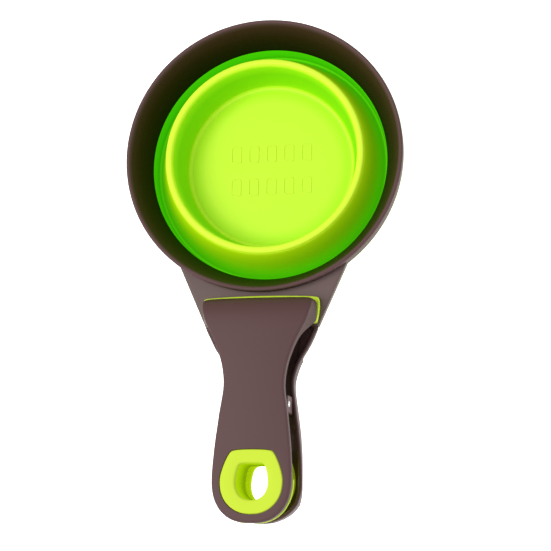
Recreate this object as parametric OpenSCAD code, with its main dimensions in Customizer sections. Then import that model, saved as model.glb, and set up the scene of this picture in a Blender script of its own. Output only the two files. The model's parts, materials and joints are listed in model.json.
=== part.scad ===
// Collapsible two-cup measuring scoop whose handle is a sprung bag clip.
// Millimetres. The cup opens along +Z and the handle runs along -Y.
// The origin is the middle of the bounding box on the resting plane.

/* [Frame] */
// Outside diameter of the rim lip
rim_d = 122; // [120:0.5:123]
// Height of the rim lip above the table
rim_h = 25.3; // [25:0.1:26]
// Wall thickness of the hard plastic
shell_t = 2; // [1.8:0.1:2.4]
// Thickness of the flat web between cup and handle
web_t = 2.2; // [1.8:0.1:2.4]
// Depth of the band that hangs below the rim lip
band_drop = 8; // [7:0.5:8.5]

/* [Silicone cup] */
// Wall thickness of the folding silicone
skin_t = 1.3; // [1:0.1:1.4]
// Thickness of the cup floor
floor_t = 1.5; // [1.2:0.1:1.6]
// Height of the raised marks on the cup floor
mark_h = 0.3; // [0.2:0.1:0.5]

/* [Clip lever] */
// Thickness of the lever's top plate
plate_t = 2.2; // [1.8:0.1:2.6]
// Depth of the lever's side walls
skirt_h = 5; // [4:0.5:5]
// Gap left between the two jaw pads when the clip is shut
pad_gap = 0.15; // [0.1:0.05:0.3]

/* [Hinge] */
// Diameter of the hinge pin
pin_d = 2.5; // [2:0.1:2.8]
// Wire diameter of the torsion spring
wire_d = 1.2; // [0.8:0.1:1.4]
// Radial clearance of the lever on the pin
run_gap = 0.05; // [0.02:0.01:0.1]

/* [Hidden] */
$fn = 96;
eps = 0.01;
far = 300;

// A height above every part, the overlap where bodies join, and curve points per span
above = 25;
join = 0.1;
steps = 3;

// Rim and collar, the cup axis in the part's frame, and the end of the handle
rim_r = rim_d / 2;
lip_w = 1.8;
collar_foot_z = -16.5;
cup_y = 48.5;
tail_y = -158;

// Hinge line, measured from the cup axis and the rim plane
pivot_y = -109.4;
pivot_z = 2;

// Pin, the frame's lugs and the lever's ears: size and place across the handle
pin_r = pin_d / 2;
lug_r = 3.6;
lug_x0 = 10.9;
lug_x1 = 13.2;
lug_foot_z = -20.3;
ear_x0 = 8;
ear_x1 = 10.5;
ear_r = 3.2;
ear_h = 8.5;
pin_fit = 0.02;

// Spring: room inside the coils, how close they sit, and each leg as [reach, rise]
coils = 8;
coil_room = 0.5;
coil_pack = 0.9;
upper_leg = [14, 4];
lower_leg = [14, 7];
wire_sides = 24;

// Fold line of the silicone: valley beside the band, crest beside the bowl
valley_r = 51.3;
valley_z = -24.3;
crest_r = 44;
crest_z = -4.4;
base_z = -rim_h;
floor_z = -22.5;
bowl_gap = 0.3;
fold_foot = 1.1;

// Raised marks on the cup floor: size, line width, spacing and the two rows
mark_size = [4.8, 8];
mark_line = 0.6;
mark_step = 8;
mark_rows_y = [-9.3, 6];

// Flat of the web and the two jaw pads above it
web_z = -4.5;
web_end_y = -74.2;
web_front_y = -44;
web_front_x = 38.55;
web_taper = 0.445;
web_wall_t = 2.2;
pad_sink = 0.6;
frame_pad_top = -1.7;
lever_pad_top = -0.3;
jaw_front_y = -64.1;
jaw_back_y = -78;

// Tail region shared by the two lime inserts
tail_solid_y = -126;
flange_y = -139.8;
flange_t = 1.8;
sleeve_t = 1.8;
sleeve_end_z = -8;
liner_out = 2.4;
well_out = 4.4;
well_shift = 1.2;
well_top_z = -12.8;
neck_foot_z = base_z + 0.6;
neck_top_z = base_z + 6.5;
liner_t = 1.5;
throat_out = 0.8;
skirt_z = 9.1;
insert_gap = 0.25;

// Half outlines, [half width, distance along the handle], front to tail
lever_plan = [
    [0, -64.1], [8, -64.2], [15, -64.5], [20.6, -64.9], [22.6, -65.5], [23.4, -66.9],
    [23.3, -69], [22.5, -72], [21.1, -76], [19, -80], [17.1, -84], [15.5, -88],
    [14.2, -92], [13.3, -96], [12.8, -100], [12.8, -104], [13.3, -108], [14.05, -113],
    [14.65, -118], [15.45, -125], [16.05, -132], [16.4, -138], [16.4, -142],
    [16.1, -145], [15.4, -148], [14.3, -150.5], [12.7, -153], [10.6, -155], [8.2, -156.5],
    [5.4, -157.5], [2.7, -157.9], [0, -158]
];
frame_plan = [
    [0, -73.5], [25.42, -73.5], [24.2, -76.5], [22.9, -79.2], [20.2, -84.7], [18.2, -88],
    [16.5, -91], [15.2, -94.2], [14.1, -98], [13.9, -102], [14.4, -106.7], [15.3, -114],
    [16, -119], [16.8, -126.7], [17.3, -134], [17.5, -140], [17.3, -144], [16.1, -149],
    [14.6, -151.5], [12.3, -153.8], [9.6, -155.6], [6.3, -157], [3, -157.8], [0, -158]
];
insert_plan = [
    [0, -128.7], [4.5, -128.8], [7.6, -129.2], [8.9, -130], [10.2, -132.2], [11.6, -135.6],
    [12.6, -139.2], [12.8, -142.2], [12.2, -146], [10.4, -149.6], [7.4, -152.4],
    [3.8, -154], [0, -154.4]
];
hole_plan = [
    [0, -134.2], [3.2, -134.2], [4.6, -134.5], [5.5, -135.4], [6.3, -138], [6.75, -141.4],
    [6.4, -144.3], [5.2, -146.7], [3.2, -148.3], [1.4, -148.8], [0, -148.9]
];
pad_plan = [
    [0, -62.9], [8, -63], [15, -63.2], [21, -63.5], [24.2, -63.9], [25.2, -64.9],
    [25.5, -66.9], [25.2, -70], [24.4, -73.6], [23.9, -74.6], [22.8, -74.9], [0, -74.9]
];
lever_pad_plan = [
    [0, -64.8], [15, -65.2], [21.2, -65.8], [22, -67.2], [21.4, -70.8], [20, -74.6], [0, -74.6]
];

// Side profiles, [distance along the handle, height from the rim plane]
lever_top = [
    [-64.1, -1], [-64.15, 1], [-64.6, 3.2], [-65.7, 5.6], [-67.6, 7.7], [-71, 9.3],
    [-76, 10.1], [-84, 10.6], [-101, 11.6], [-120, 12.8], [-141, 14.1], [-158, 15]
];
frame_top = [
    [-74, web_z - 0.2], [-84, -4.8], [-92, -5.1], [-100, -5.6], [-110, -6], [-140, -6], [-158, -6]
];
frame_bottom = [
    [-74, -9.4], [-90, -15.5], [-105, -20.5], [-118, -23.6], [-129, base_z], [-140, base_z],
    [-149, base_z], [-153, -23.8], [-156, -20.4], [-157.6, -15.5], [-158, -10]
];
// Cross profile of the handle tray, [half width, height from the rim plane]
tray_section = [
    [26, 1], [26, -7.4], [18.1, -10.6], [16.9, -15], [15.6, -19], [14.3, -22], [12.3, -24.1],
    [8.5, base_z]
];

// ---- curve helpers ----

function blend_point(a, b, c, d, t) = 0.5 * (
    2 * b + (c - a) * t + (2 * a - 5 * b + 4 * c - d) * t * t + (3 * b - a - 3 * c + d) * t * t * t
);
function last(list) = len(list) - 1;
function curve(list, cuts) = concat(
    [
        for (i = [0 : last(list) - 1])
            for (k = [0 : cuts - 1])
                blend_point(
                    list[max(i - 1, 0)], list[i], list[i + 1], list[min(i + 2, last(list))], k / cuts
                )
    ],
    [list[last(list)]]
);
function unit(v) = v / norm(v);
function run_dir(list, i) = unit(list[min(i + 1, last(list))] - list[max(i - 1, 0)]);
function inset(list, d) = [
    for (i = [0 : last(list)])
        let (t = run_dir(list, i), p = list[i] + d * [t[1], -t[0]])
            (i == 0 || i == last(list)) ? [0, p[1]] : [max(p[0], 0), p[1]]
];
function both_sides(list) = concat(list, [for (i = [last(list) - 1 : -1 : 1]) [-list[i][0], list[i][1]]]);
function raised(list, d) = [for (p = list) [p[0], p[1] + d]];
function backwards(list) = [for (i = [last(list) : -1 : 0]) list[i]];

// ---- shape helpers, all measured from the cup axis and the rim plane ----

// Moves a shape from the rim frame to the part's own frame.
module placed() {
    translate([0, cup_y, rim_h]) children();
}

// Stands a half outline up as a prism between two heights.
module prism(list, z0, z1) {
    translate([0, 0, z0]) linear_extrude(height = z1 - z0) polygon(both_sides(list));
}

// Sweeps a [y, z] outline across the handle.
module across(list, width) {
    rotate([90, 0, 90]) linear_extrude(height = width, center = true) polygon(list);
}

// Sweeps an [x, z] outline along the handle from y0 down to y1.
module along(list, y0, y1) {
    translate([0, y0, 0]) rotate([90, 0, 0]) linear_extrude(height = y0 - y1) polygon(both_sides(list));
}

// Everything on the tail side of a cutting plane.
module tail_side(y) {
    translate([-far / 2, y - far, -far / 2]) cube([far, far, far]);
}

// A disc across the handle, centred on the hinge line.
module hinge_disc(r, x0, x1) {
    translate([x0, pivot_y, pivot_z]) rotate([0, 90, 0]) cylinder(h = x1 - x0, r = r);
}

// ---- frame ----

module collar() {
    lip_in = rim_r - lip_w;
    band_r = rim_r - 0.4;
    rotate_extrude()
        polygon([
            [lip_in, -1.2], [lip_in + 0.15, -0.5], [lip_in + 0.5, -0.1], [lip_in + 1, 0],
            [rim_r - 0.35, -0.15], [rim_r - 0.05, -0.5], [rim_r, -0.9], [rim_r, -2],
            [band_r, -2.4], [band_r, -band_drop], [58.4, -band_drop], [54.8, collar_foot_z],
            [52.8, collar_foot_z]
        ]);
}

// Half outline of the web: straight sides that taper from the collar to the tray.
function web_plan(shrink, back_y) = [
    [0, web_front_y], [web_front_x - shrink, web_front_y],
    [web_front_x - shrink + web_taper * (back_y - web_front_y), back_y], [0, back_y]
];

// Shallow pocket that the lower jaw pad sits in.
module pad_pocket() {
    prism(pad_plan, web_z - pad_sink, web_z + 1);
}

// Flat web with its two side walls, open underneath.
module web() {
    difference() {
        prism(web_plan(join, web_end_y - 1), -band_drop, web_z);
        prism(web_plan(web_wall_t, web_end_y + 1), -band_drop - 1, web_z - web_t);
        cylinder(h = 4 * rim_h, r = rim_r - lip_w + join, center = true);
    }
}

// Solid the tray is cut from, drawn in by shrink and raised by lift for its inside.
module tray_blank(shrink, lift) {
    plan = inset(curve(frame_plan, steps), shrink);
    section = [for (p = tray_section) [p[0] - shrink, p[1] + lift]];
    intersection() {
        prism(plan, base_z, 0);
        across(
            concat(
                raised(curve(frame_top, steps), lift),
                backwards(raised(curve(frame_bottom, steps), lift))
            ),
            far
        );
        along(concat([[0, section[0][1]]], section, [[0, section[last(section)][1]]]), web_end_y, tail_y);
    }
}

// Deep tail half of the handle: an open tray that carries the hinge lugs.
module tray() {
    difference() {
        tray_blank(0, 0);
        intersection() {
            tray_blank(shell_t, shell_t);
            tail_side(web_end_y - shell_t);
        }
        prism(inset(curve(hole_plan, steps), -liner_out - join), base_z - 1, base_z + 2 * shell_t);
    }
}

module lugs() {
    for (side = [0, 1])
        mirror([side, 0, 0])
            difference() {
                union() {
                    hinge_disc(lug_r, lug_x0, lug_x1);
                    translate([lug_x0, pivot_y - lug_r, lug_foot_z]) {
                        cube([lug_x1 - lug_x0, 2 * lug_r, pivot_z - lug_foot_z]);
                    }
                }
                hinge_disc(pin_r + pin_fit, 0, far);
            }
}

module scoop_frame() {
    color("#5d4a47") placed()
        difference() {
            union() {
                collar();
                web();
                tray();
                lugs();
            }
            pad_pocket();
        }
}

// ---- silicone cup ----

// Overmoulded band that grips the collar and ends in the fold's valley.
module cup_band() {
    color("#3fae10") placed()
        rotate_extrude()
            polygon([
                [56.07, -13.5], [54.8, collar_foot_z], [52.8, collar_foot_z], [52.2, -23.4],
                [51.8, valley_z],
                [valley_r, valley_z], [valley_r, base_z], [54, base_z], [55.2, -24.4], [57.2, -13.5]
            ]);
}

// Folding wall, a cone that turns inside out when the cup is opened.
module cup_fold() {
    run = unit([crest_r - valley_r, crest_z - valley_z]);
    skin = skin_t * [run[1], -run[0]];
    top = [crest_r, crest_z] - bowl_gap * run;
    color("#8fd00a") placed()
        rotate_extrude()
            polygon([
                [valley_r, valley_z], top, top - skin, [valley_r - fold_foot, base_z],
                [valley_r, base_z]
            ]);
}

// One raised mark: an upright rectangle drawn with a thin line.
module floor_mark() {
    linear_extrude(height = mark_h + eps)
        difference() {
            square(mark_size, center = true);
            square([mark_size[0] - 2 * mark_line, mark_size[1] - 2 * mark_line], center = true);
        }
}

// Two rows of raised marks on the floor, where the capacity is read.
module floor_marks() {
    for (row = mark_rows_y)
        for (k = [-2 : 2])
            translate([k * mark_step, row, floor_z - eps]) floor_mark();
}

// Bead at the crest, inner wall and floor, moving as one.
module cup_bowl() {
    color("#c9f52e") placed() {
        rotate_extrude()
            polygon([
                [0, floor_z - floor_t], [38.2, floor_z - floor_t], [39, floor_z - 1], [39.3, floor_z],
                [crest_r - 1.4, crest_z - 0.5], [crest_r, crest_z], [43.5, -3.6], [42.7, -3.2],
                [41.8, -3.25], [41.2, -3.8], [37.8, floor_z + 1], [37.5, floor_z + 0.3],
                [36.9, floor_z], [0, floor_z]
            ]);
        floor_marks();
    }
}

// ---- clip lever ----

function lever_band(up, down) = concat(
    raised(curve(lever_top, steps), up), backwards(raised(curve(lever_top, steps), -down))
);

// Solid the lever is cut from: its plan, as deep as the given skirt.
module lever_blank(shrink, up, down) {
    intersection() {
        prism(inset(curve(lever_plan, steps), shrink), lever_pad_top, above);
        across(lever_band(up, down), far);
    }
}

// Front of the lever, solid from its top down to the pad.
module jaw_block() {
    edge = [for (p = curve(lever_top, steps)) if (p[0] > jaw_back_y && p[1] > lever_pad_top) p];
    intersection() {
        prism(curve(lever_plan, steps), lever_pad_top, above);
        across(concat([[jaw_back_y, lever_pad_top], [jaw_front_y, lever_pad_top]], edge), far);
    }
}

module ears() {
    for (side = [0, 1])
        mirror([side, 0, 0]) {
            hinge_disc(ear_r, ear_x0, ear_x1);
            translate([ear_x0, pivot_y - ear_r, pivot_z]) cube([ear_x1 - ear_x0, 2 * ear_r, ear_h]);
        }
}

module clip_lever() {
    color("#6c5752") placed()
        difference() {
            union() {
                difference() {
                    lever_blank(0, 0, skirt_h);
                    difference() {
                        lever_blank(shell_t, -plate_t, skirt_h + 1);
                        tail_side(tail_solid_y);
                    }
                }
                jaw_block();
                ears();
            }
            prism(inset(curve(insert_plan, steps), -insert_gap), base_z, above);
            hinge_disc(pin_r + run_gap, -far / 2, far / 2);
        }
}

// ---- soft parts ----

module lever_jaw_pad() {
    color("#c9f52e") placed() prism(lever_pad_plan, frame_pad_top + pad_gap, lever_pad_top);
}

module frame_jaw_pad() {
    color("#c9f52e") placed() prism(pad_plan, web_z - pad_sink, frame_pad_top);
}

// Grip plug of the lever with its flange under the skirt and its guide sleeve.
module lever_tail_insert() {
    hole = curve(hole_plan, steps);
    color("#c9f52e") placed()
        difference() {
            union() {
                intersection() {
                    prism(curve(insert_plan, steps), skirt_z - flange_t, above);
                    across(lever_band(0, skirt_h + flange_t), far);
                }
                intersection() {
                    lever_blank(0, -skirt_h, skirt_h + flange_t);
                    tail_side(flange_y);
                }
                prism(inset(hole, -sleeve_t), sleeve_end_z, skirt_z);
            }
            prism(hole, base_z, above);
        }
}

// Liner of the handle tray's hole: a neck through the floor and a wide well for the sleeve.
module frame_tail_insert() {
    hole = curve(hole_plan, steps);
    well_floor_z = neck_top_z + liner_t;
    color("#c9f52e") placed()
        difference() {
            union() {
                prism(inset(hole, -liner_out), neck_foot_z, neck_top_z + eps);
                translate([0, well_shift, 0])
                    prism(inset(hole, -well_out - liner_t), neck_top_z, well_top_z);
            }
            translate([0, well_shift, 0]) prism(inset(hole, -well_out), well_floor_z, 0);
            prism(inset(hole, -throat_out), base_z - 1, 0);
        }
}

// ---- hinge hardware ----

module hinge_pin() {
    color("#c8c8c8") placed() hinge_disc(pin_r, -lug_x1, lug_x1);
}

// Torsion spring: touching coils on the pin and one leg to each half of the clip.
module torsion_spring() {
    coil_r = pin_r + wire_d + coil_room;
    pitch = wire_d * coil_pack;
    end_x = (coils - 1) / 2 * pitch;
    color("#b9babd") placed() translate([0, pivot_y, pivot_z]) {
        for (k = [0 : coils - 1])
            translate([k * pitch - end_x, 0, 0])
                rotate([0, 90, 0])
                    rotate_extrude() translate([coil_r, 0]) circle(d = wire_d, $fn = wire_sides);
        spring_leg(end_x, coil_r, upper_leg);
        mirror([0, 0, 1]) spring_leg(-end_x, coil_r, lower_leg);
    }
}

// Straight leg that leaves a coil's top and slants away, given as [reach, rise].
module spring_leg(x, r, leg) {
    translate([x, 0, r])
        rotate([90 - atan2(leg[1], leg[0]), 0, 0])
            cylinder(h = norm(leg), d = wire_d, $fn = wire_sides);
}

scoop_frame();
cup_band();
cup_fold();
cup_bowl();
clip_lever();
lever_jaw_pad();
frame_jaw_pad();
lever_tail_insert();
frame_tail_insert();
hinge_pin();
torsion_spring();
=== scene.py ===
"""Looks of the collapsible measuring scoop: smooth meshes, materials, light and camera."""

import json
import math

import bmesh
import bpy
from mathutils import Matrix, Vector


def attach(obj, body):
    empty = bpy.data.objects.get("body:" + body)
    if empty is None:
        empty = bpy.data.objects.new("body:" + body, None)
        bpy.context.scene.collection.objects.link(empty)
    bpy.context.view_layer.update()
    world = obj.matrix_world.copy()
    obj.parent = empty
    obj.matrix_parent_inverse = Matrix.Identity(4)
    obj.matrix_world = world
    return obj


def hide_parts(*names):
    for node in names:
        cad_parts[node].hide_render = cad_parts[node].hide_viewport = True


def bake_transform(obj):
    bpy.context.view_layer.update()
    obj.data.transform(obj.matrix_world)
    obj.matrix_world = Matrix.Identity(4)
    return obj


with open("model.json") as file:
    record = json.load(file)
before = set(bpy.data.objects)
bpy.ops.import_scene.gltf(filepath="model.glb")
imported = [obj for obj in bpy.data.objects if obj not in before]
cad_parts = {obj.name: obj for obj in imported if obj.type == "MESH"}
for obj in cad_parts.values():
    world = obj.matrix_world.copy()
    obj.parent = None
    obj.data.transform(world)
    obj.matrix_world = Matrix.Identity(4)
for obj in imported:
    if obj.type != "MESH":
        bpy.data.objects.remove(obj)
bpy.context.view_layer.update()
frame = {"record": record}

MM = 0.001

# The cup axis and the rim plane in the part's own frame, in millimetres.
CUP_Y = 48.5
RIM_Z = 25.3

# Hinge line and fold, in millimetres from the cup axis and the rim plane.
PIVOT_Y = -109.4
PIVOT_Z = 2.0

# Web: its flat, its thickness, the foot of its side walls, and its half width, which
# narrows evenly from the front to the tray.
WEB_Z = -4.5
WEB_T = 2.2
WEB_FOOT_Z = -8.0
WEB_FRONT_Y = -44
WEB_FRONT_X = 38.55
WEB_TAPER = 0.445

# Tray: front end and its half width, where the opening starts, the thickness of wall and
# floor, where the cross profile starts to hold, and how far the walls lean in per
# millimetre of depth, which fades out near the centre line.
TRAY_FRONT_Y = -74.2
TRAY_FRONT_X = 25.0
CAVITY_FRONT_Y = -75.9
TRAY_WALL_T = 1.45
TRAY_FLOOR_T = 1.6
SECTION_START_Y = -75
WALL_DRAFT = 0.1
DRAFT_FADE_X = 8

# Lever: foot of the jaw, thickness of the top and of the skirt, and the skirt's depth.
JAW_FOOT_Z = -0.3
LEVER_TOP_T = 2.2
SKIRT_T = 2.2
SKIRT_H = 5.0

# Stretches of the handle over which a shape changes, (start, length).
TRAY_TAIL_RISE = (-140, 8)
DRAFT_START = (-80, 12)
JAW_END = (-74.5, 7.5)
HOLLOW_START = (-77.0, 5.0)
HOLLOW_END = (-124.5, 1.5)

# Hinge ears: radius round the hinge line, level of the foot, inner and outer face.
FRAME_EARS = (3.6, -17.0, 10.9, 13.2)
LEVER_EARS = (3.2, 10.2, 8.0, 10.5)

# Hinge pin: radius, half length and bevel of its ends.
PIN_R = 1.25
PIN_END = 13.5
PIN_EDGE = 0.3

# Spring: radius of coils and wire, number of turns, distance between them, and how far its
# legs reach along the handle, fall and rise.
COIL_R = 2.95
WIRE_R = 0.55
COIL_TURNS = 8
COIL_PITCH = 1.12
LEG_REACH = 12
LEG_FALL = 6
LEG_RISE = 3.4

# Raised frames on the cup's floor: half width, half length, corner radius, distance
# between them, number on each side of the middle one, and where the two rows lie.
MARK_X = 2.4
MARK_Y = 4.0
MARK_CORNER = 1.1
MARK_STEP = 8
MARKS_EACH_SIDE = 2
MARK_ROWS = (-9.3, 6.0)

# Cutters for the tray's hole and the lever's opening: room round the outline, lower end
# and upper end.
HOLE_CUT = (2.5, -27, -21)
INSERT_CUT = (0.25, -10, 25)

# Where along the handle the grip's flange begins.
FLANGE_START_Y = -139.8

# Sides of a turned piece, and in metres the distance under which two points are one and
# the depth of the fine relief on every material.
TURN_SIDES = 256
MERGE = 1e-7
RELIEF_DEPTH = 0.0002

# Half outlines, (half width, distance along the handle), from the front to the tail. The
# tray's starts at its front corner and the pad's ends at its back corner.
LEVER_PLAN = [
    (0, -64.1), (8, -64.2), (15, -64.5), (20.6, -64.9), (22.6, -65.5), (23.4, -66.9),
    (23.3, -69), (22.5, -72), (21.1, -76), (19, -80), (17.1, -84), (15.5, -88),
    (14.2, -92), (13.3, -96), (12.8, -100), (12.8, -104), (13.3, -108), (14.05, -113),
    (14.65, -118), (15.45, -125), (16.05, -132), (16.4, -138), (16.4, -142),
    (16.1, -145), (15.4, -148), (14.3, -150.5), (12.7, -153), (10.6, -155), (8.2, -156.5),
    (5.4, -157.5), (2.7, -157.9), (0, -158),
]
TRAY_PLAN = [
    (24.95, -74.3), (24.15, -76.5), (22.9, -79.2), (20.2, -84.7), (18.2, -88), (16.5, -91),
    (15.2, -94.2), (14.1, -98), (13.9, -102), (14.4, -106.7), (15.3, -114), (16, -119),
    (16.8, -126.7), (17.3, -134), (17.5, -140), (17.3, -144), (16.1, -149), (14.6, -151.5),
    (12.3, -153.8), (9.6, -155.6), (6.3, -157), (3, -157.8), (0, -158),
]
INSERT_PLAN = [
    (0, -128.7), (4.5, -128.8), (7.6, -129.2), (8.9, -130), (10.2, -132.2), (11.6, -135.6),
    (12.6, -139.2), (12.8, -142.2), (12.2, -146), (10.4, -149.6), (7.4, -152.4),
    (3.8, -154), (0, -154.4),
]
HOLE_PLAN = [
    (0, -134.2), (3.2, -134.2), (4.6, -134.5), (5.5, -135.4), (6.3, -138), (6.75, -141.4),
    (6.4, -144.3), (5.2, -146.7), (3.2, -148.3), (1.4, -148.8), (0, -148.9),
]
PAD_PLAN = [
    (0, -62.9), (8, -63), (15, -63.2), (21, -63.5), (24.1, -63.9), (24.9, -64.9),
    (25.1, -66.9), (24.9, -70), (24.2, -73.6), (23.8, -74.6), (22.8, -74.9),
]

# Side profiles, (distance along the handle, height from the rim plane).
LEVER_TOP = [
    (-64.1, -1), (-64.15, 1), (-64.6, 3.2), (-65.7, 5.6), (-67.6, 7.7), (-71, 9.3),
    (-76, 10.1), (-84, 10.6), (-101, 11.6), (-120, 12.8), (-141, 14.1), (-158, 15),
]
TRAY_TOP = [
    (-74, -4.9), (-75.7, -4.9), (-76, -4.5), (-84, -4.6), (-92, -5), (-100, -5.6),
    (-110, -6), (-140, -6), (-158, -6),
]
TRAY_BOTTOM = [
    (-74, -8.2), (-77, -9.0), (-82, -11.4), (-90, -15.3), (-105, -20.5), (-118, -23.6),
    (-129, -25.3), (-140, -25.3), (-148, -25.3), (-151, -24.5), (-154, -22.6), (-156, -20),
    (-157.6, -15.5), (-158, -10),
]
# The lowest level of the handle and of the folded cup, and the end of the handle.
BASE_Z = -25.3
TAIL_Y = -158
# How far the ground lies below the folded cup; the cup pops down by 39.8.
FLOOR_DROP = 41
# How much wider the lever is at its lower edge, (distance along the handle, extra half
# width where the half width is 24).
JAW_FLARE = [
    (-64, 0.7), (-67, 0.8), (-70, 1.25), (-72.5, 2.1), (-74.5, 2.5), (-77, 1.2), (-80, 0.6),
    (-84, 0), (-92, -0.35), (-158, -0.5),
]
# Cross profile of the handle tray, (half width, height from the rim plane).
TRAY_SECTION = [
    (24, 1), (24, -7), (17.3, -10), (16.5, -14), (15.7, -18), (14.6, -21.5), (12.4, -24),
    (8.5, -25.3),
]


# ---- curves ----

def smooth(points, steps):
    """Points of a Catmull-Rom curve through the given points."""
    out = []
    count = len(points)
    for i in range(count - 1):
        a, b = points[max(i - 1, 0)], points[i]
        c, d = points[i + 1], points[min(i + 2, count - 1)]
        for k in range(steps):
            t = k / steps
            out.append(tuple(
                0.5 * (2 * b[j] + (c[j] - a[j]) * t
                       + (2 * a[j] - 5 * b[j] + 4 * c[j] - d[j]) * t * t
                       + (3 * b[j] - a[j] - 3 * c[j] + d[j]) * t ** 3)
                for j in range(2)
            ))
    out.append(tuple(points[-1]))
    return out


def inset(points, distance):
    """The half outline moved inwards, its ends kept on the centre line."""
    out = []
    last = len(points) - 1
    for i, p in enumerate(points):
        a, b = points[max(i - 1, 0)], points[min(i + 1, last)]
        run = Vector((b[0] - a[0], b[1] - a[1])).normalized()
        x, y = p[0] + distance * run.y, p[1] - distance * run.x
        out.append((0.0 if i in (0, last) else max(x, 0.0), y))
    return out


def value_at(profile, place):
    """Value of a profile of (place, value) points, straight between them."""
    points = sorted(profile)
    if place <= points[0][0]:
        return points[0][1]
    for (p0, v0), (p1, v1) in zip(points, points[1:]):
        if place <= p1:
            return v0 + (v1 - v0) * (place - p0) / max(p1 - p0, 1e-6)
    return points[-1][1]


def eased(t):
    """0 below 0, 1 above 1, and a smooth change in between."""
    t = min(max(t, 0.0), 1.0)
    return t * t * (3 - 2 * t)


def change(y, stretch):
    """0 before a stretch of the handle and 1 beyond it."""
    start, length = stretch
    return eased((start - y) / length)


# ---- mesh building ----

def to_frame(x, y, z):
    """Cup-axis millimetres to the part's own frame in metres."""
    return Vector((x * MM, (y + CUP_Y) * MM, (z + RIM_Z) * MM))


def link_object(name, data):
    """An object in the scene that holds a mesh, a curve, a light or a camera."""
    made = bpy.data.objects.new(name, data)
    bpy.context.scene.collection.objects.link(made)
    return made


def shade_smooth(mesh):
    """Smooth shading on every face."""
    for polygon in mesh.polygons:
        polygon.use_smooth = True


def new_object(name, bm):
    """Puts a finished mesh in the scene as a smooth-shaded object."""
    mesh = bpy.data.meshes.new(name)
    bm.normal_update()
    bm.to_mesh(mesh)
    bm.free()
    shade_smooth(mesh)
    return link_object(name, mesh)


def bridge(bm, low, high, closed=True):
    """Faces between two rows of matching points."""
    count = len(low)
    for i in range(count if closed else count - 1):
        j = (i + 1) % count
        bm.faces.new((low[i], low[j], high[j], high[i]))


def revolve(name, profile, plain=()):
    """A ring turned from (radius, height) points; the plain ones carry no depth for the painted
    shade.
    """
    bm = bmesh.new()
    depth = bm.verts.layers.float.new("rest_depth")
    rows = []
    for k in range(TURN_SIDES):
        angle = 2 * math.pi * k / TURN_SIDES
        row = []
        for r, z in profile:
            vert = bm.verts.new(to_frame(r * math.cos(angle), r * math.sin(angle), z))
            vert[depth] = 0.0 if (r, z) in plain else -z
            row.append(vert)
        rows.append(row)
    for here, there in zip(rows, rows[1:] + rows[:1]):
        bridge(bm, here, there)
    bmesh.ops.remove_doubles(bm, verts=bm.verts, dist=MERGE)
    bmesh.ops.recalc_face_normals(bm, faces=bm.faces)
    return new_object(name, bm)


def mark_depth(piece):
    """Writes every point's depth below the rim, which the painted shade reads."""
    layer = piece.data.attributes["rest_depth"]
    for vert in piece.data.vertices:
        layer.data[vert.index].value = RIM_Z - vert.co.z / MM


def both_sides(half):
    """A half ring of (x, y, z) points and its mirror image, which share their two ends."""
    return half + [(-x, y, z) for x, y, z in reversed(half[1:-1])]


def ring_points(half, height):
    """Both sides of a half outline, each point at height(y)."""
    return both_sides([(x, y, height(y)) for x, y in half])


def loft(name, rings, closed=False):
    """A skin over rings of matching points: closed on itself, or with a cap at each end."""
    bm = bmesh.new()
    depth = bm.verts.layers.float.new("rest_depth")
    rows = [[bm.verts.new(to_frame(*p)) for p in ring] for ring in rings]
    # Each point's depth below the rim, which the painted shade reads.
    for vert in bm.verts:
        vert[depth] = RIM_Z - vert.co.z / MM
    for low, high in zip(rows, rows[1:]):
        bridge(bm, low, high)
    if closed:
        bridge(bm, rows[-1], rows[0])
    else:
        cap(bm, rows[0])
        cap(bm, rows[-1])
    bmesh.ops.remove_doubles(bm, verts=bm.verts, dist=MERGE)
    bmesh.ops.dissolve_degenerate(bm, edges=bm.edges, dist=MERGE)
    bmesh.ops.recalc_face_normals(bm, faces=bm.faces)
    return new_object(name, bm)


def cap(bm, row):
    """Strips across a mirrored ring, so the cap follows the ring's heights."""
    count = len(row)
    half = count // 2
    for i in range(half):
        a, b = row[i], row[i + 1]
        c, d = row[(count - i - 1) % count], row[(count - i) % count]
        corners = []
        for corner in (a, b, c, d):
            if corner not in corners:
                corners.append(corner)
        if len(corners) > 2:
            bm.faces.new(corners)


def prism(name, half, low, high):
    """A half outline and its mirror image stood up between two heights."""
    return loft(name, [ring_points(half, lambda y: low), ring_points(half, lambda y: high)])


def cut_through(piece, plan, cutter):
    """Cuts a half outline, widened by the cutter's room, out of the piece."""
    room, low, high = cutter
    tool = prism("cutter", inset(smooth(plan, 4), -room), low, high)
    modifier = piece.modifiers.new("cut", "BOOLEAN")
    modifier.operation = "DIFFERENCE"
    modifier.solver = "EXACT"
    modifier.object = tool
    apply_modifiers(piece)
    bpy.data.objects.remove(tool)


def apply_modifiers(piece):
    """Replaces the piece's mesh with what its modifiers make of it."""
    bpy.context.view_layer.update()
    graph = bpy.context.evaluated_depsgraph_get()
    mesh = bpy.data.meshes.new_from_object(piece.evaluated_get(graph))
    piece.modifiers.clear()
    piece.data = mesh


def soften(piece, angle):
    """Smooth shading that keeps edges sharper than the angle."""
    mesh = piece.data
    shade_smooth(mesh)
    bm = bmesh.new()
    bm.from_mesh(mesh)
    limit = math.radians(angle)
    for edge in bm.edges:
        edge.smooth = not (len(edge.link_faces) == 2 and edge.calc_face_angle(0) > limit)
    bm.to_mesh(mesh)
    bm.free()


# ---- materials ----

def new_material(name):
    """A material with nodes; returns it with its nodes, its links and its shader."""
    material = bpy.data.materials.new(name)
    material.use_nodes = True
    nodes = material.node_tree.nodes
    return material, nodes, material.node_tree.links, nodes["Principled BSDF"]


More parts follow.
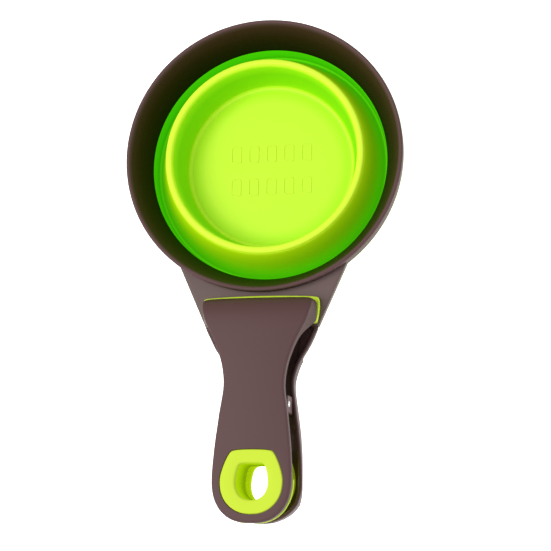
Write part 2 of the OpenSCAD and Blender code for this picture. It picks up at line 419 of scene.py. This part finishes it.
def fine_bump(nodes, links, shader, scale, strength):
    """Small noise relief on a shader, in object space; returns the coordinates it uses."""
    coords = nodes.new("ShaderNodeTexCoord")
    noise = nodes.new("ShaderNodeTexNoise")
    noise.inputs["Scale"].default_value = scale
    noise.inputs["Detail"].default_value = 4
    bump = nodes.new("ShaderNodeBump")
    bump.inputs["Strength"].default_value = strength
    bump.inputs["Distance"].default_value = RELIEF_DEPTH
    links.new(coords.outputs["Object"], noise.inputs["Vector"])
    links.new(noise.outputs["Fac"], bump.inputs["Height"])
    links.new(bump.outputs["Normal"], shader.inputs["Normal"])
    return coords


def colour_ramp(nodes, stops):
    """Colour ramp node with the given (position, colour) stops."""
    ramp = nodes.new("ShaderNodeValToRGB")
    elements = ramp.color_ramp.elements
    while len(elements) < len(stops):
        elements.new(0.5)
    for element, (position, colour) in zip(elements, stops):
        element.position = position
        element.color = (*colour, 1)
    return ramp


def clouded(name, low, high, scale, roughness, specular, relief):
    """Matte moulded material whose colour wanders a little between two shades."""
    material, nodes, links, shader = new_material(name)
    shader.inputs["Roughness"].default_value = roughness
    shader.inputs["Specular IOR Level"].default_value = specular
    coords = fine_bump(nodes, links, shader, scale=900, strength=relief)
    cloud = nodes.new("ShaderNodeTexNoise")
    cloud.inputs["Scale"].default_value = scale
    ramp = colour_ramp(nodes, [(0.3, low), (0.75, high)])
    links.new(coords.outputs["Object"], cloud.inputs["Vector"])
    links.new(cloud.outputs["Fac"], ramp.inputs["Fac"])
    links.new(ramp.outputs["Color"], shader.inputs["Base Color"])
    return material


def painted_shade_by_depth(name, shallow, deep, stops, roughness, specular, glow=0.0):
    """Material with painted shade: its colour runs through the stops between two depths below the
    rim, and its glow, if any, is painted light.
    """
    material, nodes, links, shader = new_material(name)
    shader.inputs["Roughness"].default_value = roughness
    shader.inputs["Specular IOR Level"].default_value = specular
    shader.inputs["Emission Strength"].default_value = glow
    fine_bump(nodes, links, shader, scale=700, strength=0.08)
    depth = nodes.new("ShaderNodeAttribute")
    depth.attribute_name = "rest_depth"
    span = nodes.new("ShaderNodeMapRange")
    span.inputs["From Min"].default_value = shallow
    span.inputs["From Max"].default_value = deep
    ramp = colour_ramp(nodes, stops)
    links.new(depth.outputs["Fac"], span.inputs["Value"])
    links.new(span.outputs["Result"], ramp.inputs["Fac"])
    links.new(ramp.outputs["Color"], shader.inputs["Base Color"])
    if glow:
        links.new(ramp.outputs["Color"], shader.inputs["Emission Color"])
    return material


def steel():
    """Bright drawn steel."""
    material, nodes, links, shader = new_material("steel")
    shader.inputs["Metallic"].default_value = 1.0
    shader.inputs["Roughness"].default_value = 0.25
    shader.inputs["Base Color"].default_value = (0.7, 0.7, 0.71, 1)
    fine_bump(nodes, links, shader, scale=2500, strength=0.15)
    return material


def paper_floor():
    """White ground that glows a little, so that it shows no shadow."""
    material, _, _, shader = new_material("floor_white")
    shader.inputs["Base Color"].default_value = (0.95, 0.95, 0.95, 1)
    shader.inputs["Roughness"].default_value = 0.9
    shader.inputs["Emission Color"].default_value = (1, 1, 1, 1)
    shader.inputs["Emission Strength"].default_value = 0.85
    return material


# Plain colours: two shades, the size of their clouds, roughness, specular and relief.
PLASTIC = clouded(
    "brown_plastic", (0.098, 0.052, 0.053), (0.116, 0.063, 0.064), 22, 0.52, 0.16, 0.12
)
# Web: a lighter copy of the brown plastic, painted light that brightens the web where it lies in the
# shade of the lip and the jaw.
WEB_PAINTED_LIGHT_PLASTIC = clouded(
    "brown_plastic_web_painted_light", (0.132, 0.088, 0.082), (0.150, 0.102, 0.096), 22, 0.5, 0.2, 0.12
)
LIME = clouded("silicone_lime", (0.60, 0.82, 0.032), (0.64, 0.86, 0.042), 30, 0.5, 0.25, 0.1)

# Painted shade: colours that run with depth below the rim, then roughness, specular and glow. The
# glow is painted light; it stands for the light that comes through thin silicone.
# Collar: painted shade, the inner wall darker with depth down to near black at its foot; the outside
# keeps the top colour.
COLLAR = painted_shade_by_depth("collar_plastic", 0.0, 16.5, [
    (0.0, (0.112, 0.062, 0.060)), (0.08, (0.092, 0.048, 0.040)), (0.16, (0.058, 0.027, 0.014)),
    (0.5, (0.036, 0.014, 0.006)), (1.0, (0.022, 0.009, 0.003)),
], 0.5, 0.1)
# Lever: painted shade, darker from the top down to the lower edge of the skirt.
LEVER = painted_shade_by_depth("lever_plastic", -12.0, 0.0, [
    (0.0, (0.107, 0.057, 0.057)), (0.12, (0.102, 0.053, 0.053)), (0.22, (0.094, 0.048, 0.046)),
    (0.42, (0.086, 0.042, 0.037)), (0.7, (0.074, 0.034, 0.027)), (1.0, (0.066, 0.030, 0.023)),
], 0.52, 0.16)
# Grip and hole liner: painted light just below the lever's top, painted shade darker with depth down
# the hole, and a glow of painted light.
GRIP = painted_shade_by_depth("silicone_grip", -15.0, 25.0, [
    (0.0, (0.43, 0.56, 0.040)), (0.07, (0.43, 0.56, 0.040)), (0.12, (0.50, 0.66, 0.006)),
    (0.3, (0.42, 0.57, 0.004)), (0.45, (0.30, 0.43, 0.003)), (0.8, (0.20, 0.33, 0.001)),
    (1.0, (0.15, 0.28, 0.001)),
], 0.6, 0.0, 0.42)
# Bowl: painted shade, deep green down the inner wall and lighter again towards the floor, with a
# glow of painted light.
BOWL = painted_shade_by_depth("silicone_bowl", 3.2, 22.5, [
    (0.0, (0.60, 0.86, 0.040)), (0.06, (0.58, 0.86, 0.026)), (0.13, (0.30, 0.74, 0.004)),
    (0.40, (0.19, 0.62, 0.001)), (0.75, (0.22, 0.64, 0.001)), (0.90, (0.28, 0.67, 0.002)),
    (0.955, (0.46, 0.79, 0.016)), (0.9955, (0.50, 0.76, 0.034)), (1.0, (0.38, 0.70, 0.010)),
], 0.5, 0.15, 0.2)
# Fold: painted shade, light lime at the bowl down to deep green in the valley at its foot, with a
# glow of painted light.
FOLD = painted_shade_by_depth("silicone_mid", 4.4, 24.3, [
    (0.0, (0.48, 0.80, 0.010)), (0.12, (0.36, 0.66, 0.002)), (0.45, (0.22, 0.51, 0.001)),
    (0.72, (0.12, 0.43, 0.001)), (0.92, (0.07, 0.40, 0.001)), (1.0, (0.09, 0.46, 0.003)),
], 0.5, 0.1, 0.4)
# Band: painted shade, deep green all over, a brighter painted highlight on the ledge at its foot,
# and a glow of painted light.
BAND = painted_shade_by_depth("silicone_deep", 16.5, 25.3, [
    (0.0, (0.05, 0.45, 0.001)), (0.55, (0.045, 0.43, 0.001)), (0.80, (0.04, 0.36, 0.001)),
    (0.86, (0.08, 0.46, 0.003)), (1.0, (0.08, 0.46, 0.003)),
], 0.6, 0.0, 0.6)

STEEL = steel()


def set_material(piece, material):
    """Makes the material the piece's only one."""
    piece.data.materials.clear()
    piece.data.materials.append(material)


def finish_piece(piece, body, material, slot, *nodes):
    """Gives a piece its material, its body if it has one, and hides what it replaces; the slot is
    not used.
    """
    set_material(piece, material)
    if body:
        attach(piece, body)
    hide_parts(*nodes)


# ---- frame ----

def make_collar():
    """Rim lip, hanging band and inner wall, turned in one profile."""
    lip = [(58.85, -2.4), (59.1, -1.3), (59.3, -0.55), (59.6, -0.15), (60.1, 0.0)]
    outside = [
        (60.6, -0.08), (60.9, -0.3), (61.0, -0.7), (61.0, -2.3), (60.95, -2.5), (60.8, -2.6),
        (60.8, -7.6), (60.5, -8.0), (58.4, -8.0), (54.9, -16.4), (54.7, -16.6),
    ]
    foot = [(53.0, -16.6), (52.85, -16.4)]
    # The lip and inner wall get depth and darken with painted shade; the outside is left plain.
    shell = revolve("collar_shell", lip + outside + foot, plain=outside)
    finish_piece(shell, "frame", COLLAR, "brown_plastic", "scoop_frame")


def web_width(y):
    """Half width of the web, which narrows evenly from the collar to the tray."""
    return WEB_FRONT_X + WEB_TAPER * (y - WEB_FRONT_Y)


def make_web():
    """Flat web from under the collar's lip to the tray, with a low wall down each side."""
    radius = 59.9
    back_y = -75.8
    # The web's side meets the arc under the lip here, found in small steps.
    search = (WEB_FRONT_Y - 0.05 * k for k in range(400))
    meet = next(y for y in search if math.hypot(web_width(y), y) > radius)
    reach = math.asin(web_width(meet) / radius)
    run = 14
    # Stations across the web: distance in from the side, drop below the flat, level of the foot.
    wall = [(0.0, 0.7), (0.03, 0.3), (0.2, 0.1), (0.5, 0.0), (2.2, 0.0)]
    half = [(side, drop, WEB_FOOT_Z) for side, drop in wall]
    half += [(side, 0.0, WEB_Z - WEB_T) for side in (2.25, 8, 15, 22)]
    wide = 30
    stations = [(1 - side / wide, drop, foot) for side, drop, foot in half]
    stations += [(-share, drop, foot) for share, drop, foot in reversed(stations)]
    rings = []
    for share, drop, foot in stations:
        angle = share * reach
        front = Vector((radius * math.sin(angle), -radius * math.cos(angle)))
        back = Vector((share * web_width(back_y), back_y))
        line = [front.lerp(back, k / run) for k in range(run + 1)]
        rings.append(
            [(p.x, p.y, WEB_Z - drop) for p in line] + [(p.x, p.y, foot) for p in reversed(line)]
        )
    web = loft("web_plate", rings)
    soften(web, 40)
    # The web takes the lighter plastic, which is painted light.
    finish_piece(web, "frame", WEB_PAINTED_LIGHT_PLASTIC, "brown_plastic", "scoop_frame")


def tray_outline():
    """Half outline of the tray: straight across the front, then the curve to the tail."""
    front = [(TRAY_FRONT_X * k / 4, TRAY_FRONT_Y) for k in range(5)]
    return front + smooth(TRAY_PLAN, 4)[1:]


def cavity_outline(outer, depth, front_y):
    """The tray's opening: the outline moved in, with its front pulled across at front_y."""
    # The corner starts this far behind the front, with one bend point just before it.
    corner_run, bend_in, bend_back = 1.6, 0.25, 0.45
    moved = inset(outer, depth)
    first = next(i for i, p in enumerate(outer) if p[1] < front_y - corner_run)
    corner_x = moved[first][0]
    run = [(corner_x * k / first, front_y) for k in range(first - 1)]
    bend = (corner_x - bend_in, front_y - bend_back)
    return run + [bend] + moved[first:]


def tray_ring(outline, shrink, lift, share):
    """One level of the tray's wall, 0 at the rim and 1 at the bottom."""
    half = []
    for x, y in outline:
        top, bottom = value_at(TRAY_TOP, y), value_at(TRAY_BOTTOM, y) + lift
        z = top + (bottom - top) * share
        rise = (value_at(TRAY_BOTTOM, y) - BASE_Z) * change(y, TRAY_TAIL_RISE)
        room = section_width(z - lift - rise) - shrink if y < SECTION_START_Y else x
        lean = WALL_DRAFT * (top - z) * change(y, DRAFT_START) * min(1.0, x / DRAFT_FADE_X)
        half.append((max(0.0, min(x - lean, room)), y, z))
    return both_sides(half)


def section_width(z):
    """Half width of the tray's cross profile at a height."""
    return value_at([(height, x) for x, height in smooth(TRAY_SECTION[::-1], 4)], z)


def make_tray():
    """Open tray in one shell: up the outside, over the rim, down the inside."""
    outer = tray_outline()
    levels = 16
    # The outside wall stops short of the rim, where the rounding of the edge takes over.
    wall_share = 0.93
    rings = [tray_ring(outer, 0, 0, 1 - k / levels * wall_share) for k in range(levels + 1)]
    for side, drop in ((0.0, 0.8), (0.1, 0.42), (0.3, 0.14), (0.65, 0.0)):
        moved = inset(outer, side)
        rings.append(ring_points(moved, lambda y, d=drop: value_at(TRAY_TOP, y) - d))
    for side, drop in ((0.9, 0.0), (1.15, 0.1), (1.35, 0.35), (TRAY_WALL_T, 0.8)):
        inner = cavity_outline(outer, side, CAVITY_FRONT_Y + TRAY_WALL_T - side)
        rings.append(ring_points(inner, lambda y, d=drop: value_at(TRAY_TOP, y) - d))
    cavity = cavity_outline(outer, TRAY_WALL_T, CAVITY_FRONT_Y)
    for k in range(1, levels + 1):
        rings.append(tray_ring(cavity, TRAY_WALL_T, TRAY_FLOOR_T, k / levels))
    shell = loft("tray_shell", rings)
    cut_through(shell, HOLE_PLAN, HOLE_CUT)
    soften(shell, 38)
    finish_piece(shell, "frame", PLASTIC, "brown_plastic", "scoop_frame")


def side_plate(bm, points, x_near, x_far, bevel=0.3):
    """A plate between two distances from the middle of the handle, both its edges bevelled."""
    centre = (sum(p[0] for p in points) / len(points), sum(p[1] for p in points) / len(points))

    def shrunk(amount):
        out = []
        for y, z in points:
            away = Vector((y - centre[0], z - centre[1]))
            away = away * (1 - amount / max(away.length, 1e-6))
            out.append((centre[0] + away.x, centre[1] + away.y))
        return out

    step = bevel if x_far > x_near else -bevel
    levels = [(x_near, bevel), (x_near + step, 0), (x_far - step, 0), (x_far, bevel)]
    rows = [
        [bm.verts.new(to_frame(x, y, z)) for y, z in shrunk(amount)] for x, amount in levels
    ]
    for low, high in zip(rows, rows[1:]):
        bridge(bm, low, high)
    bm.faces.new(rows[0])
    bm.faces.new(rows[-1])


def arch(radius, foot_z, steps=24):
    """Outline of an ear: a half disc round the hinge line on straight legs, as (y, z)."""
    turn = -1 if foot_z > PIVOT_Z else 1
    outline = []
    for k in range(steps + 1):
        angle = turn * math.pi * k / steps
        outline.append((PIVOT_Y + radius * math.cos(angle), PIVOT_Z + radius * math.sin(angle)))
    return outline + [(PIVOT_Y - radius, foot_z), (PIVOT_Y + radius, foot_z)]


def make_ears(name, ears, body, node):
    """The pair of ears of one body, one on each side."""
    radius, foot_z, x_near, x_far = ears
    bm = bmesh.new()
    for side in (1, -1):
        side_plate(bm, arch(radius, foot_z), side * x_near, side * x_far)
    bmesh.ops.recalc_face_normals(bm, faces=bm.faces)
    piece = new_object(name, bm)
    soften(piece, 30)
    finish_piece(piece, body, PLASTIC, "brown_plastic", node)


# ---- clip lever ----

def lever_heights():
    """The lever's top, its lower edge and the ceiling of its hollow, as functions of y."""
    top = smooth(LEVER_TOP, 6)

    def top_z(y):
        return value_at(top, y)

    def bottom_z(y):
        return JAW_FOOT_Z + (top_z(y) - SKIRT_H - JAW_FOOT_Z) * change(y, JAW_END)

    def ceiling_z(y):
        hollow = change(y, HOLLOW_START) * (1 - change(y, HOLLOW_END))
        return bottom_z(y) + (top_z(y) - LEVER_TOP_T - bottom_z(y)) * hollow

    return top_z, bottom_z, ceiling_z


def flared(plan):
    """Outline of the lever's lower edge: the jaw spreads and the skirt leans in."""
    full_half = 24
    return [(x * (1 + value_at(JAW_FLARE, y) / full_half), y) for x, y in plan]


def make_lever():
    """Lever in one shell, from its hollow over the lower edge to the rounded top."""
    plan = smooth(LEVER_PLAN, 5)
    foot = flared(plan)
    edge = 0.25
    top_z, bottom_z, ceiling_z = lever_heights()
    rings = [ring_points(inset(foot, SKIRT_T), ceiling_z)]
    for side, rise in ((1.9, 0.1), (1.6, 0.0), (edge, 0.0), (0.0, edge)):
        rings.append(ring_points(inset(foot, side), lambda y, r=rise: bottom_z(y) + r))
    for side, drop in ((0.0, 1.2), (0.1, 0.7), (0.36, 0.3), (0.75, 0.08), (1.2, 0.0)):
        rings.append(ring_points(
            inset(plan, side), lambda y, d=drop: max(top_z(y) - d, bottom_z(y) + edge)
        ))
    lever = loft("lever_shell", rings)
    cut_through(lever, INSERT_PLAN, INSERT_CUT)
    soften(lever, 32)
    # Depth for the lever's painted shade, darker towards its lower edge.
    mark_depth(lever)
    finish_piece(lever, "lever", LEVER, "brown_plastic", "clip_lever")


# ---- soft parts ----

def resampled(points, count):
    """The half outline as a fixed number of points, evenly spaced."""
    lengths = [0.0]
    for p, q in zip(points, points[1:]):
        lengths.append(lengths[-1] + math.dist(p, q))
    out = []
    for k in range(count):
        want = lengths[-1] * k / (count - 1)
        i = next(n for n in range(1, len(lengths)) if lengths[n] >= want - 1e-9)
        t = (want - lengths[i - 1]) / max(lengths[i] - lengths[i - 1], 1e-9)
        out.append(tuple(points[i - 1][j] + (points[i][j] - points[i - 1][j]) * t for j in range(2)))
    out[0] = (0.0, out[0][1])
    out[-1] = (0.0, out[-1][1])
    return out


def make_lever_insert():
    """Grip plug flush with the lever and the sleeve round the hanging hole, in one skin."""
    count = 61
    plug = resampled(smooth(INSERT_PLAN, 4), count)
    hole = resampled(smooth(HOLE_PLAN, 4), count)
    top_z, _, _ = lever_heights()

    def level(outline, z):
        return ring_points(outline, lambda y: z)

    def below_top(outline, drop):
        return ring_points(outline, lambda y: top_z(y) - drop)

    rings = [
        level(inset(hole, -1.5), -8), level(inset(hole, -0.3), -8), level(hole, -7.7),
        level(hole, 0), level(hole, 6), below_top(hole, 1.0), below_top(inset(hole, -0.12), 0.5),
        below_top(inset(hole, -0.4), 0.16), below_top(inset(hole, -0.9), 0.0),
        below_top(inset(plug, 0.6), 0.0), below_top(inset(plug, 0.25), 0.06),
        below_top(inset(plug, 0.06), 0.22), below_top(plug, 0.5), level(plug, 9.5),
        level(plug, 7.4), level(inset(plug, 0.2), 7.2), level(inset(hole, -1.8), 7.2),
        level(inset(hole, -1.8), -7.8),
    ]
    insert = loft("lever_grip_insert", rings, closed=True)
    soften(insert, 45)
    # The grip's colour is painted light and painted shade, darker with depth down the hole.
    finish_piece(insert, "lever", GRIP, "silicone_lime", "lever_tail_insert")


def make_flange():
    """Lime lip of the grip that shows below the lever's skirt round the tail."""
    plan = [p for p in smooth(LEVER_PLAN, 5) if p[1] < FLANGE_START_Y]
    section = [
        (4.2, 5.1), (0.5, 5.05), (0.1, 5.15), (-0.12, 5.45), (-0.2, 5.85), (-0.12, 6.25),
        (0.1, 6.55), (0.5, 6.65), (4.2, 6.65),
    ]
    top_z, _, _ = lever_heights()
    bm = bmesh.new()
    rows = []
    for side, drop in section:
        right = [(x, max(y, TAIL_Y), top_z(y) - drop) for x, y in inset_open(plan, side)]
        left = [(-x, y, z) for x, y, z in reversed(right[:-1])]
        rows.append([bm.verts.new(to_frame(*p)) for p in right + left])
    for low, high in zip(rows, rows[1:] + rows[:1]):
        bridge(bm, low, high, closed=False)
    bm.faces.new([row[0] for row in rows])
    bm.faces.new([row[-1] for row in rows])
    bmesh.ops.recalc_face_normals(bm, faces=bm.faces)
    flange = new_object("lever_grip_flange", bm)
    soften(flange, 50)
    finish_piece(flange, "lever", LIME, "silicone_lime", "lever_tail_insert")


def inset_open(points, distance):
    """As inset, but the first point is free to leave the centre line."""
    moved = inset(points, distance)
    moved[0] = (points[0][0] - distance, points[0][1])
    return moved


def make_frame_pad():
    """Lime pad on the web; its edge shows as a line round the jaw."""
    back_x, back_y = PAD_PLAN[-1]
    plan = smooth(PAD_PLAN, 4) + [(back_x * (1 - k / 4), back_y) for k in range(1, 5)]
    edge = [(0.3, -5.1), (0.0, -4.8), (0.0, -2.2), (0.1, -1.9), (0.35, -1.72), (0.7, -1.7)]
    rings = [ring_points(inset(plan, side), lambda y, h=height: h) for side, height in edge]
    pad = loft("frame_pad", rings)
    soften(pad, 50)
    finish_piece(pad, "frame", LIME, "silicone_lime", "frame_jaw_pad")


# ---- silicone cup ----

def make_band():
    """Overmoulded band with the ledge at the foot of the fold; its deep green is painted shade and
    the ledge's brighter line a painted highlight.
    """
    profile = [
        (56.07, -13.5), (54.8, -16.45), (52.9, -16.45), (52.75, -16.6), (52.3, -23.6),
        (52.15, -23.95), (51.9, -24.15), (51.55, -24.2), (51.3, -24.4), (51.3, -25.3), (54.0, -25.3),
        (55.0, -24.8), (55.3, -24.2), (57.2, -13.6),
    ]
    finish_piece(revolve("cup_band_skin", profile), "frame", BAND, "silicone_deep", "cup_band")


def make_fold():
    """Folding wall, from its lower edge at the frame's band to its upper edge at the bowl."""
    low_top, high_top = Vector((51.45, -24.5)), Vector((44.05, -4.3))
    run = (high_top - low_top).normalized()
    out = Vector((run.y, -run.x))
    steps = 28
    swell = 0.55
    thick = 1.25
    outside = []
    inside = []
    for k in range(steps + 1):
        t = k / steps
        flare = swell * math.sin(math.pi * t)
        p = low_top.lerp(high_top, t)
        outside.append(tuple(p - out * flare))
        inside.append(tuple(p - out * (flare + thick)))
    fold = revolve("cup_fold_skin", outside + inside[::-1])
    finish_piece(fold, None, FOLD, "silicone_mid", "cup_fold")
    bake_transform(fold)


def make_bowl():
    """Crest bead, inner wall and floor of the cup, in one profile."""
    profile = [
        (0.0, -24.0), (38.2, -24.0), (39.0, -23.5), (39.3, -22.5), (42.6, -5.4), (43.1, -4.8),
        (44.05, -4.4), (44.0, -4.0), (43.7, -3.6), (43.2, -3.32), (42.6, -3.2), (42.0, -3.26),
        (41.5, -3.5), (41.15, -3.95), (40.9, -4.7), (37.9, -20.6), (37.6, -21.5), (37.1, -22.15),
        (36.3, -22.5), (35.0, -22.5), (33.6, -22.48), (31.8, -22.45), (29.5, -22.42), (0.0, -22.42),
    ]
    bowl = revolve("cup_bowl_skin", profile)
    finish_piece(bowl, "bowl", BOWL, "silicone_lime", "cup_bowl")


def make_floor_marks():
    """Two rows of low raised frames on the cup's floor, in place of the capacity marking."""
    bm = bmesh.new()
    levels = [(0.0, -22.55), (0.0, -22.3), (0.1, -22.2), (0.5, -22.2), (0.6, -22.3), (0.6, -22.55)]
    for row_y in MARK_ROWS:
        for k in range(-MARKS_EACH_SIDE, MARKS_EACH_SIDE + 1):
            mid_x = MARK_STEP * k
            rings = []
            for side, z in levels:
                outline = rounded(MARK_X - side, MARK_Y - side, MARK_CORNER - side * 0.8)
                rings.append([bm.verts.new(to_frame(mid_x + x, row_y + y, z)) for x, y in outline])
            for low, high in zip(rings, rings[1:] + rings[:1]):
                bridge(bm, low, high)
    bmesh.ops.recalc_face_normals(bm, faces=bm.faces)
    finish_piece(new_object("floor_marks", bm), "bowl", LIME, "silicone_lime", "cup_bowl")


def rounded(wide, tall, bend, steps=5):
    """Outline of a rectangle with rounded corners, as (x, y) from its middle."""
    out = []
    for quarter, (sx, sy) in enumerate(((1, 1), (-1, 1), (-1, -1), (1, -1))):
        middle_x, middle_y = sx * (wide - bend), sy * (tall - bend)
        for k in range(steps + 1):
            angle = math.pi / 2 * (quarter + k / steps)
            out.append((middle_x + bend * math.cos(angle), middle_y + bend * math.sin(angle)))
    return out


# ---- hinge hardware ----

def make_pin():
    """Drawn steel pin with bevelled ends, across both pairs of ears."""
    bm = bmesh.new()
    half = [(0.0, PIN_END), (PIN_R - PIN_EDGE, PIN_END), (PIN_R, PIN_END - PIN_EDGE)]
    profile = [(radius, -x) for radius, x in half] + half[::-1]
    sides = 40
    angles = [2 * math.pi * k / sides for k in range(sides)]
    rows = []
    for radius, x in profile:
        ring = [
            (x, PIVOT_Y + radius * math.cos(angle), PIVOT_Z + radius * math.sin(angle))
            for angle in angles
        ]
        rows.append([bm.verts.new(to_frame(*p)) for p in ring])
    for low, high in zip(rows, rows[1:]):
        bridge(bm, low, high)
    bmesh.ops.remove_doubles(bm, verts=bm.verts, dist=MERGE)
    bmesh.ops.recalc_face_normals(bm, faces=bm.faces)
    pin = new_object("pin_steel", bm)
    soften(pin, 30)
    finish_piece(pin, "frame", STEEL, "steel", "hinge_pin")


def spring_path():
    """Centre line of the wire: a leg up from the tray, the coils, and a leg under the lever."""
    steps = 24
    side = COIL_TURNS * COIL_PITCH / 2
    shares = [k / 6 for k in range(7)]
    path = [
        (-side, PIVOT_Y - LEG_REACH * t, PIVOT_Z - COIL_R - LEG_FALL * t) for t in reversed(shares)
    ]
    for k in range(steps // 2 + 1, COIL_TURNS * steps + 1):
        angle = math.pi / 2 + 2 * math.pi * k / steps
        y = PIVOT_Y + COIL_R * math.cos(angle)
        z = PIVOT_Z + COIL_R * math.sin(angle)
        path.append((COIL_PITCH * k / steps - side, y, z))
    path += [
        (side, PIVOT_Y - LEG_REACH * t, PIVOT_Z + COIL_R + LEG_RISE * t) for t in shares[1:]
    ]
    return path


def make_spring():
    """Round wire along the spring's path, from its lower leg to its upper leg."""
    path = spring_path()
    curve = bpy.data.curves.new("spring_wire", "CURVE")
    curve.dimensions = "3D"
    curve.bevel_depth = WIRE_R * MM
    curve.bevel_resolution = 4
    curve.use_fill_caps = True
    spline = curve.splines.new("POLY")
    spline.points.add(len(path) - 1)
    for point, place in zip(spline.points, path):
        point.co = (*to_frame(*place), 1)
    made = link_object("spring_curve", curve)
    bpy.context.view_layer.update()
    graph = bpy.context.evaluated_depsgraph_get()
    mesh = bpy.data.meshes.new_from_object(made.evaluated_get(graph))
    bpy.data.objects.remove(made)
    shade_smooth(mesh)
    spring = link_object("spring_wire", mesh)
    finish_piece(spring, None, STEEL, "steel", "torsion_spring")
    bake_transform(spring)


make_collar()
make_web()
make_tray()
make_ears("hinge_lugs", FRAME_EARS, "frame", "scoop_frame")
make_lever()
make_ears("lever_ears", LEVER_EARS, "lever", "clip_lever")
make_lever_insert()
make_flange()
make_frame_pad()
make_band()
make_fold()
make_bowl()
make_floor_marks()
make_pin()
make_spring()

# The silicone_mid and silicone_deep slots take the fold's and the band's painted shade and glow.
SLOT_MATERIALS = {
    "brown_plastic": PLASTIC,
    "silicone_lime": LIME,
    "silicone_mid": FOLD,
    "silicone_deep": BAND,
    "steel": STEEL,
}
# The liner is deep in the hanging hole, where light comes to it through the silicone; it takes the
# grip's painted shade, darker with depth, and its glow of painted light.
NODE_MATERIALS = {"frame_tail_insert": GRIP}
for entry in frame["record"]["subparts"]:
    cad = bpy.data.objects.get(entry["node"])
    if cad is not None:
        slot_material = SLOT_MATERIALS[entry["material_slot"]]
        set_material(cad, NODE_MATERIALS.get(entry["node"], slot_material))


# ---- stage ----

# Half the ground's width, in metres, and the brightness of the surroundings.
FLOOR_HALF = 3
WORLD_STRENGTH = 0.45

# Lights: name, place and aim in metres, width of the disc and power.
LIGHTS = [
    ("key", (-0.5, -0.1, 1.0), (0, 0, 0.02), 0.9, 11),
    ("side", (0.9, -0.1, 0.10), (0, -0.03, 0.02), 0.3, 1.2),
]

# Camera: sensor and lens in millimetres, its place from the cup axis and the rim plane,
# and which way its picture runs to the right and down.
SENSOR = 36
LENS = 84.936479
CAMERA_PLACE = (105.32, -165.61, 530.1)
CAMERA_RIGHT = (0.98343, 0.00988, -0.18104)
CAMERA_DOWN = (-0.02697, -0.97944, -0.19995)


def make_floor():
    """White ground, low enough that the popped cup still clears it."""
    bm = bmesh.new()
    bmesh.ops.create_grid(bm, x_segments=2, y_segments=2, size=FLOOR_HALF)
    floor = new_object("floor", bm)
    floor.location.z = -FLOOR_DROP * MM
    set_material(floor, paper_floor())


def area_light(name, place, target, size, power):
    """A round area light that faces its target."""
    data = bpy.data.lights.new(name, "AREA")
    data.shape = "DISK"
    data.size = size
    data.energy = power
    light = link_object(name, data)
    light.location = place
    light.rotation_mode = "QUATERNION"
    light.rotation_quaternion = (Vector(target) - Vector(place)).to_track_quat("-Z", "Y")


def make_lights():
    """Even white surroundings, a large light above and a small one low on the right."""
    world = bpy.data.worlds.new("studio")
    world.use_nodes = True
    background = world.node_tree.nodes["Background"]
    background.inputs["Color"].default_value = (1, 1, 1, 1)
    background.inputs["Strength"].default_value = WORLD_STRENGTH
    bpy.context.scene.world = world
    for name, place, target, size, power in LIGHTS:
        area_light(name, place, target, size, power)


def make_camera():
    """The photograph's viewpoint: high above, beyond the handle's end and to its right."""
    data = bpy.data.cameras.new("camera")
    data.sensor_width = SENSOR
    data.lens = LENS
    camera = link_object("camera", data)
    right = Vector(CAMERA_RIGHT)
    down = Vector(CAMERA_DOWN)
    ahead = right.cross(down)
    turn = Matrix((right, -down, -ahead)).transposed()
    camera.matrix_world = Matrix.Translation(to_frame(*CAMERA_PLACE)) @ turn.to_4x4()
    bpy.context.scene.camera = camera


make_floor()
make_lights()
make_camera()
bpy.context.scene.view_settings.view_transform = "Standard"
